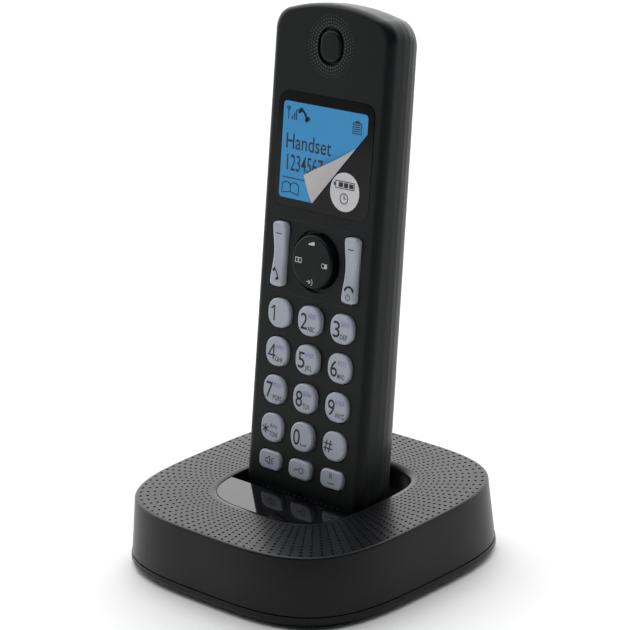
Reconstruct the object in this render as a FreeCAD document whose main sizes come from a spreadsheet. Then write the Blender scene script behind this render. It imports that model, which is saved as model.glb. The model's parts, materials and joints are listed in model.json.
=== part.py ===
import FreeCAD
import Part
import Sketcher
import math
import os
from FreeCAD import Placement, Rotation, Vector

# A cordless telephone handset standing in its charging base.
# Millimetres. The origin is on the floor under the middle of the base, +Z is up and the
# front of the phone faces -Y. Handset pieces are drawn upright, with their front towards
# -Y and their lower end at Z = 0, and are then leaned back into the cradle by HANDSET.

DRIVING = {
    # base casing
    "base_half_width": 48.6,
    "base_half_depth": 49.3,
    "rim_half_width": 47.1,
    "rim_half_depth": 47.2,
    "base_exponent": 3.42,
    "base_height": 22.8,
    "rim_tilt": 0.021,
    "rim_radius": 0.6,
    "foot_height": 0.8,
    "parting_height": 4.05,
    "groove_width": 0.3,
    "casing_wall": 2.2,
    "plate_wall": 2.0,
    "floor_wall": 2.0,
    # well and cradle
    "well_half_width": 25.3,
    "well_half_depth": 26.4,
    "well_exponent": 3.43,
    "well_centre": 0.8,
    "well_wall": 1.8,
    "well_bottom": 10.2,
    "lip_width": 2.9,
    "lip_drop": 0.42,
    "cradle_plate_height": 22.2,
    "cradle_plate_fall": 0.6,
    "cradle_plate_edge": -10.1,
    "cradle_gap": 0.4,
    "cradle_shelf_height": 15.8,
    # fastenings and feet
    "screw_radius": 1.0,
    "screw_head_radius": 2.3,
    "screw_head_height": 1.6,
    "screw_gap": 0.05,
    "boss_radius": 3.0,
    "base_screw_x": 38.0,
    "base_screw_y": 23.0,
    "foot_radius": 5.0,
    "foot_x": 29.5,
    "foot_y": 37.5,
    # base electronics
    "board_half_width": 33.0,
    "board_half_depth": 37.0,
    "board_thickness": 1.6,
    "board_height": 5.0,
    "can_length": 26.0,
    "can_width": 20.0,
    "can_height": 2.2,
    "aerial_length": 22.0,
    "aerial_width": 0.8,
    "aerial_height": 5.0,
    "jack_x": 16.0,
    "jack_face": 47.6,
    "jack_width": 13.0,
    "jack_depth": 14.0,
    "jack_height": 11.5,
    "jack_socket_width": 9.8,
    "jack_socket_height": 6.8,
    "jack_socket_depth": 11.5,
    "jack_latch_width": 6.2,
    "jack_latch_height": 2.0,
    "jack_contact_radius": 0.25,
    "jack_contact_pitch": 1.02,
    "inlet_width": 9.6,
    "inlet_depth": 13.0,
    "inlet_height": 10.4,
    "inlet_bore_radius": 3.0,
    "inlet_bore_depth": 9.5,
    "inlet_pin_radius": 0.85,
    "inlet_pin_length": 8.5,
    "locator_width": 8.0,
    "locator_height": 4.4,
    "locator_travel": 0.8,
    "contact_x": 14.0,
    "contact_radius": 1.5,
    "contact_length": 3.2,
    "contact_rise": 0.3,
    # handset casing, in its own upright frame
    "handset_half_width": 24.0,
    "handset_height": 156.5,
    "handset_foot_y": -7.493,
    "handset_foot_z": 14.95,
    "handset_lean": 8.28,
    "top_arch_radius": 66.0,
    "top_corner_radius": 6.5,
    "foot_corner_radius": 4.0,
    "face_depth": 1.3,
    "face_recession": 0.8,
    "seam_depth": 5.5,
    "back_depth": 23.3,
    "back_taper": 0.152,
    "shell_wall": 1.8,
    "key_gap": 0.35,
    # keys
    "key_width": 9.2,
    "key_height": 9.1,
    "key_corner": 3.9,
    "key_edge": 0.7,
    "key_column": 13.0,
    "key_row": 12.08,
    "key_first_row": 61.0,
    "side_key_set_back": 0.43,
    "function_key_height": 6.0,
    "function_key_corner": 2.2,
    "function_row": 14.4,
    "key_shank": 3.6,
    "flange_overhang": 0.6,
    "flange_thickness": 0.8,
    "key_travel": 0.5,
    "rocker_x": 14.8,
    "rocker_z": 79.1,
    "rocker_width": 5.7,
    "rocker_height": 20.0,
    "rocker_corner": 1.6,
    "rocker_depth": 4.4,
    "pad_z": 79.2,
    "pad_radius": 8.2,
    "pad_recess_radius": 9.6,
    "pad_recess_depth": 0.9,
    "pad_front": -0.3,
    "pad_back": 4.2,
    "pivot_radius": 1.6,
    # display
    "window_width": 38.8,
    "window_bottom": 94.0,
    "window_top": 129.0,
    "window_corner": 4.0,
    "window_thickness": 1.2,
    "screen_width": 34.2,
    "screen_bottom": 96.8,
    "screen_top": 125.9,
    "film_thickness": 0.15,
    "film_roll_radius": 0.75,
    "film_tip_x": -6.0,
    "film_tip_z": 104.7,
    "sticker_radius": 5.85,
    "sticker_x": 9.65,
    "sticker_z": 101.9,
    # sound
    "earpiece_z": 144.0,
    "earpiece_width": 8.4,
    "earpiece_height": 9.5,
    "ear_recess_width": 10.2,
    "ear_recess_height": 11.3,
    "ear_recess_depth": 1.0,
    "ear_speaker_radius": 8.0,
    "ear_speaker_depth": 2.6,
    "ringer_radius": 11.0,
    "ringer_depth": 4.0,
    "ringer_z": 108.0,
    "grille_hole_radius": 0.8,
    "grille_pitch": 3.6,
    "microphone_radius": 2.0,
    "microphone_depth": 1.5,
    "microphone_z": 6.3,
    # handset electronics and battery
    "handset_board_half_width": 20.5,
    "handset_board_bottom": 9.0,
    "handset_board_top": 146.0,
    "handset_board_front": 6.7,
    "handset_board_thickness": 1.2,
    "membrane_half_width": 18.2,
    "membrane_front": 5.42,
    "membrane_thickness": 0.7,
    "membrane_bottom": 9.5,
    "membrane_top": 91.0,
    "dome_front": 6.2,
    "dome_thickness": 0.3,
    "handset_screw_x": 14.0,
    "handset_screw_z": 134.0,
    "cell_radius": 5.25,
    "cell_length": 44.5,
    "cell_x": 5.6,
    "cell_depth": 15.2,
    "cell_bottom": 26.0,
    "compartment_half_width": 12.4,
    "compartment_front": 9.8,
    "compartment_wall": 1.2,
    "compartment_bottom": 22.0,
    "compartment_top": 74.0,
    "lid_half_width": 16.0,
    "lid_bottom": 18.0,
    "lid_top": 80.0,
    "lid_thickness": 1.5,
    "lid_gap": 0.25,
    "spring_radius": 2.6,
    "spring_wire_radius": 0.28,
    "spring_pitch": 0.5,
    "charge_plate_width": 5.0,
    "charge_plate_depth": 5.0,
    "charge_plate_thickness": 0.5,
    "charge_plate_y": 10.0,
}

doc = FreeCAD.newDocument("cordless_phone")
sheet = doc.addObject("Spreadsheet::Sheet", "Sizes")
for row, (alias, value) in enumerate(DRIVING.items(), start=1):
    sheet.set("A%d" % row, alias)
    sheet.set("B%d" % row, str(value))
    sheet.setAlias("B%d" % row, alias)
doc.recompute()

FRONT = Vector(0, -1, 0)
BACK = Vector(0, 1, 0)
UP = Vector(0, 0, 1)
FAR = 200.0
pieces = []


def size(alias):
    """The value of one cell of the sheet."""
    return float(sheet.get(alias))


def at(x, y, z):
    return Placement(Vector(x, y, z), Rotation())


LEAN = Rotation(Vector(1, 0, 0), -size("handset_lean"))
HANDSET = Placement(Vector(0, size("handset_foot_y"), size("handset_foot_z")), LEAN)
BASE = Placement()


def bind(thing, **expressions):
    """Ties properties of an object to expressions on the sheet."""
    for name, expression in expressions.items():
        thing.setExpression(name, expression)
    return thing


def keep(thing, label, placement=None):
    """Names a finished piece and puts it in its place."""
    thing.Label = label
    if placement is not None:
        thing.Placement = placement.multiply(thing.Placement)
    pieces.append(thing)
    return thing


def shaped(label, shape, placement=BASE):
    """A piece whose form comes from Part's own functions."""
    thing = doc.addObject("Part::Feature", label)
    thing.Shape = shape
    return keep(thing, label, placement)


def box(name, placement, length, width, height):
    """A block that is centred on X, its sizes given as expressions."""
    block = bind(doc.addObject("Part::Box", name), Length=length, Width=width, Height=height)
    doc.recompute()
    block.Placement = placement.multiply(at(-block.Length.Value / 2, 0, 0))
    return block


def cylinder(name, placement, radius, height):
    rod = bind(doc.addObject("Part::Cylinder", name), Radius=radius, Height=height)
    rod.Placement = placement
    return rod


def along_y(x, y, z):
    """A placement that turns +Z towards the back of the phone."""
    return Placement(Vector(x, y, z), Rotation(Vector(1, 0, 0), -90))


def cut(name, base, tool):
    result = doc.addObject("Part::Cut", name)
    result.Base = base
    result.Tool = tool
    return result


def fuse(name, *shapes):
    result = doc.addObject("Part::MultiFuse", name)
    result.Shapes = list(shapes)
    return result


def group(name, *shapes):
    """Like pieces that stay separate solids of one sub-part."""
    result = doc.addObject("Part::Compound", name)
    result.Links = list(shapes)
    return result


# ---------------------------------------------------------------- sketches and key bodies

def plane_of(body, role):
    return next(f for f in body.Origin.OriginFeatures if f.Role == role)


def rounded_sketch(body, name, depth, width, height, corner):
    """A rounded rectangle about the body's axis, on a plane facing the front at a depth."""
    sketch = body.newObject("Sketcher::SketchObject", name)
    sketch.AttachmentSupport = [(plane_of(body, "XZ_Plane"), "")]
    sketch.MapMode = "FlatFace"
    sketch.AttachmentOffset = at(0, 0, -depth)
    w, h, r = 5.0, 5.0, 1.0
    corners = [(w - r, r - h, 270), (w - r, h - r, 0), (r - w, h - r, 90), (r - w, r - h, 180)]
    ends = [
        ((r - w, -h), (w - r, -h)),
        ((w, r - h), (w, h - r)),
        ((w - r, h), (r - w, h)),
        ((-w, h - r), (-w, r - h)),
    ]
    for start, end in ends:
        sketch.addGeometry(Part.LineSegment(Vector(*start, 0), Vector(*end, 0)), False)
    for x, y, start in corners:
        circle = Part.Circle(Vector(x, y, 0), UP, r)
        arc = Part.ArcOfCircle(circle, math.radians(start), math.radians(start + 90))
        sketch.addGeometry(arc, False)
    for side in range(4):
        arc = 4 + side
        sketch.addConstraint(Sketcher.Constraint("Tangent", side, 2, arc, 1))
        sketch.addConstraint(Sketcher.Constraint("Tangent", arc, 2, (side + 1) % 4, 1))
        direction = "Vertical" if side % 2 else "Horizontal"
        sketch.addConstraint(Sketcher.Constraint(direction, side))
    for arc in (4, 5, 6):
        sketch.addConstraint(Sketcher.Constraint("Equal", arc, arc + 1))
    sketch.addConstraint(Sketcher.Constraint("Symmetric", 4, 3, 6, 3, -1, 1))
    for label, constraint, expression in (
        ("wide", Sketcher.Constraint("DistanceX", 3, 1, 1, 1, 2 * w), width),
        ("tall", Sketcher.Constraint("DistanceY", 0, 1, 2, 1, 2 * h), height),
        ("corner", Sketcher.Constraint("Radius", 4, r), corner),
    ):
        number = sketch.addConstraint(constraint)
        sketch.renameConstraint(number, label)
        sketch.setExpression("Constraints." + label, expression)
    sketch.Visibility = False
    return sketch


def pad(body, sketch, name, length):
    feature = body.newObject("PartDesign::Pad", name)
    feature.Profile = sketch
    return bind(feature, Length=length)


def round_front_edges(body, feature, name, radius):
    """Rounds the edges of the foremost face."""
    doc.recompute()
    front = feature.Shape.BoundBox.YMin
    edges = []
    for number, edge in enumerate(feature.Shape.Edges, start=1):
        if edge.BoundBox.YMax < front + 0.01:
            edges.append("Edge%d" % number)
    fillet = body.newObject("PartDesign::Fillet", name)
    fillet.Base = (feature, edges)
    return bind(fillet, Radius=radius)


def key_body(label, x, z, set_back, height, corner):
    """A key cap with a flange that keeps it behind the front cover."""
    body = doc.addObject("PartDesign::Body", label)
    flange_back = size("key_shank") + size("flange_thickness")
    overhang = " + 2 * Sizes.flange_overhang"
    flange_outline = rounded_sketch(
        body, label + "_flange_outline", flange_back,
        "Sizes.key_width" + overhang, height + overhang, corner + " + Sizes.flange_overhang")
    pad(body, flange_outline, label + "_flange", "Sizes.flange_thickness")
    cap_outline = rounded_sketch(
        body, label + "_outline", flange_back, "Sizes.key_width", height, corner)
    cap = pad(body, cap_outline, label + "_cap", "Sizes.key_shank + Sizes.flange_thickness")
    round_front_edges(body, cap, label + "_edge", "Sizes.key_edge")
    return keep(body, label, HANDSET.multiply(at(x, set_back, z)))


def plate_body(label, bottom, top, front, thickness, width, corner):
    """A flat rounded plate of the handset, between two heights."""
    body = doc.addObject("PartDesign::Body", label)
    height = "Sizes.%s - Sizes.%s" % (top, bottom)
    back = front + size(thickness)
    sketch = rounded_sketch(body, label + "_outline", back, width, height, corner)
    pad(body, sketch, label + "_plate", "Sizes." + thickness)
    return keep(body, label, HANDSET.multiply(at(0, 0, (size(bottom) + size(top)) / 2)))


# ---------------------------------------------------------------- outlines of the casings

def superellipse(half_width, half_depth, exponent, centre, height, tilt=0.0, count=56):
    """A closed rounded outline, level or tilted up towards the back."""
    points = []
    for step in range(count):
        angle = 2 * math.pi * step / count
        across = abs(math.cos(angle)) / half_width
        along = abs(math.sin(angle)) / half_depth
        reach = (across ** exponent + along ** exponent) ** (-1 / exponent)
        y = centre + reach * math.sin(angle)
        points.append(Vector(reach * math.cos(angle), y, height + tilt * y))
    curve = Part.BSplineCurve()
    curve.interpolate(Points=points, PeriodicFlag=True)
    return Part.Wire([curve.toShape()])


def base_outline(height, inset=0.0):
    """The casing's outline at a height, drawn in towards the rim."""
    rise = (height - size("foot_height")) / (size("base_height") - size("foot_height"))
    half_width = size("base_half_width") * (1 - rise) + size("rim_half_width") * rise
    half_depth = size("base_half_depth") * (1 - rise) + size("rim_half_depth") * rise
    tilt = size("rim_tilt") * max(0.0, rise - 0.2) / 0.8
    return superellipse(
        half_width - inset, half_depth - inset, size("base_exponent"), 0.0, height, tilt)


def well_outline(height, grow=0.0, tilt=0.0):
    return superellipse(
        size("well_half_width") + grow, size("well_half_depth") + grow,
        size("well_exponent"), size("well_centre"), height, tilt)


def loft(wires):
    return Part.makeLoft(wires, True, True)


def block(low, high):
    """A plain block between two corners."""
    spans = [b - a for a, b in zip(low, high)]
    return Part.makeBox(*spans, Vector(*low))


def mirrored_pairs(x, y):
    return [(sx * x, sy * y) for sx in (-1, 1) for sy in (-1, 1)]


def handset_section(inset, bottom_depth, top_depth, corner_growth=0.0):
    """The handset's outline on a plane across its depth, straight-sided with an arched top."""
    half = size("handset_half_width") - inset
    low = 0.6 * inset
    high = size("handset_height") - 0.6 * inset
    arch = size("top_arch_radius")
    top_corner = size("top_corner_radius") + corner_growth
    foot_corner = size("foot_corner_radius") + corner_growth
    slope = (top_depth - bottom_depth) / size("handset_height")

    def point(x, z):
        return Vector(x, bottom_depth + slope * z, z)

    centre = high - arch
    reach = arch - top_corner
    corner_z = centre + math.sqrt(reach ** 2 - (half - top_corner) ** 2)
    toward = Vector(half - top_corner, 0, corner_z - centre).normalize()
    arch_end = (toward.x * arch, centre + toward.z * arch)
    middle = Vector(toward.x + 1, 0, toward.z).normalize()
    corner_middle = (half - top_corner + middle.x * top_corner, corner_z + middle.z * top_corner)
    foot_middle = (half - foot_corner * (1 - math.sqrt(0.5)), low + foot_corner * (1 - math.sqrt(0.5)))

    def mirror(pair):
        return (-pair[0], pair[1])

    right_foot = (half - foot_corner, low)
    right_low = (half, low + foot_corner)
    right_high = (half, corner_z)
    edges = [
        Part.LineSegment(point(*mirror(right_foot)), point(*right_foot)),
        Part.Arc(point(*right_foot), point(*foot_middle), point(*right_low)),
        Part.LineSegment(point(*right_low), point(*right_high)),
        Part.Arc(point(*right_high), point(*corner_middle), point(*arch_end)),
        Part.Arc(point(*arch_end), point(0, high), point(*mirror(arch_end))),
        Part.Arc(point(*mirror(arch_end)), point(*mirror(corner_middle)), point(*mirror(right_high))),
        Part.LineSegment(point(*mirror(right_high)), point(*mirror(right_low))),
        Part.Arc(point(*mirror(right_low)), point(*mirror(foot_middle)), point(*mirror(right_foot))),
    ]
    return Part.Wire([edge.toShape() for edge in edges])


def shell_sections(far_depth, far_recession, steps, wall=0.0):
    """Sections from the seam outwards; each step is a share of the depth and an inset."""
    seam = size("seam_depth")
    shrink = 1 - wall / abs(far_depth - seam)
    sections = []
    for share, inset, growth in steps:
        reach = (far_depth - seam) * share * shrink
        bottom = seam + reach
        top = seam + reach * (1 - far_recession)
        sections.append(handset_section(inset + wall, bottom, top, growth - 0.4 * wall))
    return sections


def rounded_steps(flat_share, radius, growth, count):
    """Steps that run straight for a share of the depth and then turn in along an arc."""
    steps = [(0.0, 0.0, 0.0)]
    for number in range(count + 1):
        turn = math.radians(90.0 * number / count)
        inset = radius * (1 - math.cos(turn))
        share = (1 - flat_share) + flat_share * math.sin(turn)
        steps.append((share, inset, growth * (1 - math.cos(turn))))
    return steps


FRONT_STEPS = rounded_steps(0.7, 2.6, 0.4, 6)
BACK_STEPS = rounded_steps(0.85, 11.5, 4.0, 8)


def face_at(z):
    """Depth of the handset's face at a height."""
    return size("face_depth") + size("face_recession") * z / size("handset_height")


# ---------------------------------------------------------------- holes in the front cover

def rounded_prism(x, z, width, height, corner, front, back):
    """A rounded rectangular prism through the depth of the handset."""
    prism = Part.makeBox(width, back - front, height, Vector(x - width / 2, front, z - height / 2))
    uprights = [e for e in prism.Edges if abs(e.tangentAt(e.FirstParameter).y) > 0.99]
    return prism.makeFillet(corner, uprights)


def depth_rod(x, z, radius, front, back):
    return Part.makeCylinder(radius, back - front, Vector(x, front, z), BACK)


key_places = {}
names = ["key_1", "key_2", "key_3", "key_4", "key_5", "key_6", "key_7", "key_8", "key_9",
         "key_star", "key_0", "key_hash"]
for number, name in enumerate(names):
    column = number % 3 - 1
    z = size("key_first_row") - size("key_row") * (number // 3)
    key_places[name] = (column * size("key_column"), z, "Sizes.key_height", "Sizes.key_corner")
for column, name in zip((-1, 0, 1), ("key_speakerphone", "key_lock", "key_recall")):
    key_places[name] = (
        column * size("key_column"), size("function_row"),
        "Sizes.function_key_height", "Sizes.function_key_corner")


def value_of(expression):
    return size(expression.replace("Sizes.", ""))


def key_windows():
    gap = size("key_gap")
    holes = []
    for x, z, height, corner in key_places.values():
        holes.append(rounded_prism(
            x, z, size("key_width") + 2 * gap, value_of(height) + 2 * gap,
            value_of(corner) + gap, -1.0, size("seam_depth")))
    for side in (-1, 1):
        holes.append(rounded_prism(
            side * size("rocker_x"), size("rocker_z"), size("rocker_width") + 2 * gap,
            size("rocker_height") + 2 * gap, size("rocker_corner") + gap, -1.0,
            size("seam_depth")))
    holes.append(depth_rod(0, size("pad_z"), size("pad_radius") + 0.4, -2.0, size("seam_depth")))
    dish_floor = face_at(size("pad_z")) + size("pad_recess_depth")
    holes.append(depth_rod(0, size("pad_z"), size("pad_recess_radius"), -1.0, dish_floor))
    return holes


WINDOW_Z = (size("window_bottom") + size("window_top")) / 2
WINDOW_FRONT = face_at(WINDOW_Z) - 0.1
WINDOW_BACK = WINDOW_FRONT + size("window_thickness")
LCD_FRONT = WINDOW_BACK + 0.65
SCREEN_Z = (size("screen_bottom") + size("screen_top")) / 2
EAR_FLOOR = face_at(size("earpiece_z")) + size("ear_recess_depth")


def front_cover():
    recession = size("face_recession") / (size("seam_depth") - size("face_depth"))
    outer = loft(shell_sections(size("face_depth"), recession, FRONT_STEPS))
    inner = loft(shell_sections(size("face_depth"), recession, FRONT_STEPS, size("shell_wall")))
    shell = outer.cut(inner)
    screws = [(side * size("handset_screw_x"), size("handset_screw_z")) for side in (-1, 1)]
    boss_front = face_at(size("handset_screw_z")) + 1.0
    for x, z in screws:
        shell = shell.fuse(depth_rod(x, z, size("boss_radius"), boss_front, 9.5))
    tools = key_windows()
    window_height = size("window_top") - size("window_bottom")
    tools.append(rounded_prism(
        0, WINDOW_Z, size("window_width") + 0.2, window_height + 0.2, size("window_corner"),
        -1.0, WINDOW_BACK))
    tools.append(rounded_prism(
        0, SCREEN_Z, size("screen_width") + 1.5, size("screen_top") - size("screen_bottom") + 1.5,
        1.5, -1.0, size("seam_depth")))
    tools.append(rounded_prism(
        0, size("earpiece_z"), size("ear_recess_width"), size("ear_recess_height"), 4.6,
        -1.0, EAR_FLOOR))
    tools.append(depth_rod(0, size("microphone_z"), 0.6, -1.0, size("seam_depth")))
    for side in (-1, 0, 1):
        tools.append(depth_rod(
            side * 2.4, size("earpiece_z") - 3.0, 0.5, -1.0, size("seam_depth")))
    for x, z in screws:
        tools.append(depth_rod(
            x, z, size("screw_radius") + size("screw_gap"), boss_front + 1.0, FAR))
    return shell.cut(tools)


def lid_region(grow):
    """The part of the handset's back that the battery lid takes up."""
    middle = (size("lid_bottom") + size("lid_top")) / 2
    height = size("lid_top") - size("lid_bottom")
    return rounded_prism(
        0, middle, 2 * (size("lid_half_width") + grow), height + 2 * grow, 4.0 + grow,
        size("seam_depth") + 8.0, size("back_depth") + 5.0)


def back_solid(wall=0.0):
    return loft(shell_sections(size("back_depth"), size("back_taper"), BACK_STEPS, wall))


def compartment(grow, front):
    half = size("compartment_half_width") + grow
    return block(
        (-half, front, size("compartment_bottom") - grow),
        (half, size("back_depth") + 5.0, size("compartment_top") + grow))


def rear_cover():
    outer = back_solid()
    shell = outer.cut(back_solid(size("shell_wall")))
    walls = compartment(size("compartment_wall"), size("compartment_front") - 1.2)
    shell = shell.fuse(walls.common(outer))
    lid_seat = lid_region(size("lid_gap")).cut(back_solid(size("lid_thickness") + size("lid_gap")))
    tools = [lid_seat, compartment(0.0, size("compartment_front"))]
    for side in (-1, 1):
        x = side * size("handset_screw_x")
        z = size("handset_screw_z")
        shell = shell.fuse(depth_rod(x, z, size("boss_radius") + 0.8, 9.7, 22.0).common(outer))
        tools.append(depth_rod(x, z, size("screw_radius") + size("screw_gap"), 5.0, 13.0))
        tools.append(depth_rod(x, z, size("screw_head_radius") + 0.2, 12.0, FAR))
        tools.append(block(
            (side * size("contact_x") - size("charge_plate_width") / 2 - 0.1,
             size("charge_plate_y") - size("charge_plate_depth") / 2 - 0.1, -1.0),
            (side * size("contact_x") + size("charge_plate_width") / 2 + 0.1,
             size("charge_plate_y") + size("charge_plate_depth") / 2 + 0.1,
             0.3 + size("charge_plate_thickness"))))
    pitch = size("grille_pitch")
    grille = [(0.0, 0.0)]
    grille += [(pitch * math.cos(math.radians(a)), pitch * math.sin(math.radians(a)))
               for a in range(0, 360, 60)]
    for x, z in grille:
        tools.append(depth_rod(x, size("ringer_z") + z, size("grille_hole_radius"), 15.5, FAR))
    return shell.cut(tools)


def battery_lid():
    skin = back_solid().cut(back_solid(size("lid_thickness")))
    return skin.common(lid_region(0.0))


# ---------------------------------------------------------------- base casing

LINE_X = -size("jack_x")
INLET_X = size("jack_x")
BOARD_TOP = size("board_height") + size("board_thickness")
LOCATOR_Z = 11.5


def base_top_cover():
    wall = size("casing_wall")
    low = size("parting_height") + size("groove_width") / 2
    top = size("base_height")
    edge = size("rim_radius")
    outer = loft([
        base_outline(low), base_outline(top - edge), base_outline(top - 0.3 * edge, 0.3 * edge),
        base_outline(top, edge)])
    inner = loft([base_outline(low - 1, wall), base_outline(top - size("plate_wall"), wall)])
    cover = outer.cut(inner)
    collar = loft([
        well_outline(size("well_bottom"), size("well_wall")),
        well_outline(top - 1.0, size("well_wall"))])
    cover = cover.fuse(collar)
    screw_places = mirrored_pairs(size("base_screw_x"), size("base_screw_y"))
    for x, y in screw_places:
        boss = Part.makeCylinder(size("boss_radius"), top - 1.2 - low, Vector(x, y, low))
        cover = cover.fuse(boss)
    lip = []
    for step in range(5):
        angle = math.radians(90.0 * step / 4)
        lip.append(well_outline(
            top - size("lip_drop") * (1 - math.cos(angle)),
            size("lip_width") * (1 - math.sin(angle)), size("rim_tilt")))
    throat = loft([well_outline(top + 4.0, size("lip_width"), size("rim_tilt"))] + lip
                  + [well_outline(size("well_bottom") - 1.0)])
    gap = 0.25
    jack_hole = block(
        (LINE_X - size("jack_width") / 2 - gap, 35.0, BOARD_TOP - gap),
        (LINE_X + size("jack_width") / 2 + gap, 60.0, BOARD_TOP + size("jack_height") + gap))
    inlet_hole = block(
        (INLET_X - size("inlet_width") / 2 - gap, 35.0, BOARD_TOP - gap),
        (INLET_X + size("inlet_width") / 2 + gap, 60.0, BOARD_TOP + size("inlet_height") + gap))
    half = size("locator_width") / 2 + 0.3
    button_hole = block(
        (-half, 42.0, LOCATOR_Z - size("locator_height") / 2 - 0.3),
        (half, 60.0, LOCATOR_Z + size("locator_height") / 2 + 0.3))
    tools = [throat, jack_hole, inlet_hole, button_hole]
    for x, y in screw_places:
        pilot = size("screw_radius") + size("screw_gap")
        tools.append(Part.makeCylinder(pilot, 9.0, Vector(x, y, low - 1)))
    return cover.cut(tools)


def base_bottom_cover():
    foot = size("foot_height")
    seam = size("parting_height") - size("groove_width") / 2
    wall = size("casing_wall")
    tray = loft([base_outline(foot, 1.2), base_outline(foot + 0.7, 0.25),
                 base_outline(foot + 1.6, -0.15), base_outline(seam, -0.15)])
    hollow = loft([base_outline(foot + size("floor_wall"), wall), base_outline(seam + 1, wall)])
    tray = tray.cut(hollow)
    tongue = loft([base_outline(foot + 1, wall + 0.15), base_outline(seam + 1.6, wall + 0.15)])
    tongue = tongue.cut(loft([base_outline(foot, wall + 1.2), base_outline(seam + 2.6, wall + 1.2)]))
    tray = tray.fuse(tongue)
    screw_places = mirrored_pairs(size("base_screw_x"), size("base_screw_y"))
    for x, y in mirrored_pairs(28.0, 33.0):
        post = Part.makeCylinder(2.0, size("board_height") - foot - 1.0, Vector(x, y, foot + 1.0))
        tray = tray.fuse(post)
    tools = []
    for x, y in screw_places:
        tools.append(Part.makeCylinder(size("screw_radius") + size("screw_gap"), 10, Vector(x, y, 0)))
        head_top = foot + size("screw_head_height") * 0.6
        tools.append(Part.makeCylinder(
            size("screw_head_radius") + 0.2, head_top, Vector(x, y, 0)))
        tools.append(Part.makeCylinder(
            size("boss_radius") + 0.2, 6.0, Vector(x, y, foot + size("floor_wall"))))
    for x, y in mirrored_pairs(size("foot_x"), size("foot_y")):
        tools.append(Part.makeCylinder(size("foot_radius"), foot + 0.6, Vector(x, y, 0)))
    return tray.cut(tools)


def cradle_insert():
    """A glossy front plate that falls forwards, a leaning pocket and a low shelf behind it."""
    lean = math.radians(size("handset_lean"))
    gap = size("cradle_gap")

    def leaned(y, z):
        spot = HANDSET.multVec(Vector(0, y, z))
        return (spot.y, spot.z)

    front = size("well_centre") - size("well_half_depth") - 1.0
    back = size("well_centre") + size("well_half_depth") + 1.0
    plate_edge = (size("cradle_plate_edge"), size("cradle_plate_height"))
    fall = math.tan(math.radians(size("cradle_plate_fall")))
    plate_front = (front, plate_edge[1] - (plate_edge[0] - front) * fall)
    floor_front = leaned(size("face_depth") - gap, -gap)
    floor_back = leaned(size("back_depth") + gap, -gap)
    shelf_rise = size("cradle_shelf_height") - floor_back[1]
    shelf_front = (floor_back[0] + shelf_rise * math.tan(lean), size("cradle_shelf_height"))
    bottom = size("well_bottom")
    plate_foot = (plate_edge[0] + 0.5, floor_front[1])
    outline = [(front, bottom), plate_front, plate_edge, plate_foot, floor_front, floor_back,
               shelf_front,
               (back, size("cradle_shelf_height")), (back, bottom), (front, bottom)]
    corners = [Vector(-size("well_half_width") - 1, y, z) for y, z in outline]
    profile = Part.Face(Part.makePolygon(corners))
    bar = profile.extrude(Vector(2 * size("well_half_width") + 2, 0, 0))
    well = loft([well_outline(bottom, -0.1), well_outline(size("base_height"), -0.1)])
    cradle = bar.common(well)
    holes = []
    for side in (-1, 1):
        start = HANDSET.multVec(Vector(side * size("contact_x"), size("charge_plate_y"), -6.0))
        axis = HANDSET.Rotation.multVec(UP)
        holes.append(Part.makeCylinder(size("contact_radius") + 0.15, 12.0, start, axis))
    return cradle.cut(holes)


shaped("base_top_cover", base_top_cover())
shaped("base_bottom_cover", base_bottom_cover())
shaped("cradle_insert", cradle_insert())

feet = []
for number, (x, y) in enumerate(mirrored_pairs(size("foot_x"), size("foot_y")), start=1):
    feet.append(cylinder(
        "foot_%d" % number, at(x, y, 0), "Sizes.foot_radius - 0.1", "Sizes.foot_height + 0.5"))
keep(group("feet_group", *feet), "rubber_feet")


def screw(name, place, direction_turn, shaft):
    """A round-headed screw whose head sits at the given place."""
    head = cylinder(name + "_head", BASE, "Sizes.screw_head_radius", "Sizes.screw_head_height")
    shank = cylinder(name + "_shank", BASE, "Sizes.screw_radius", shaft)
    drive = cylinder(name + "_drive", at(0, 0, -0.1), "Sizes.screw_radius", "0.8")
    solid = cut(name + "_driven", fuse(name + "_blank", head, shank), drive)
    solid.Placement = place.multiply(Placement(Vector(), direction_turn))
    return solid


base_screws = []
head_seat = size("foot_height") + size("screw_head_height") * 0.6 - size("screw_head_height")
for number, (x, y) in enumerate(mirrored_pairs(size("base_screw_x"), size("base_screw_y")), start=1):
    place = at(x, y, head_seat)
    base_screws.append(screw("base_screw_%d" % number, place, Rotation(), "9.5"))
keep(group("base_screw_group", *base_screws), "base_screws")

board = box(
    "base_board", at(0, -size("board_half_depth"), size("board_height")),
    "2 * Sizes.board_half_width", "2 * Sizes.board_half_depth", "Sizes.board_thickness")
keep(board, "base_circuit_board")
can = box("can_block", at(0, -26.0, BOARD_TOP), "Sizes.can_length", "Sizes.can_width", "Sizes.can_height")
keep(can, "base_shield_can")
aerial_foot = box(
    "aerial_foot", at(0, -35.0, BOARD_TOP), "Sizes.aerial_length", "3", "Sizes.aerial_width")
aerial_fin = box(
    "aerial_fin", at(0, -35.0, BOARD_TOP), "Sizes.aerial_length", "Sizes.aerial_width",
    "Sizes.aerial_height")
keep(fuse("aerial_strip", aerial_foot, aerial_fin), "base_antenna")

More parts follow.
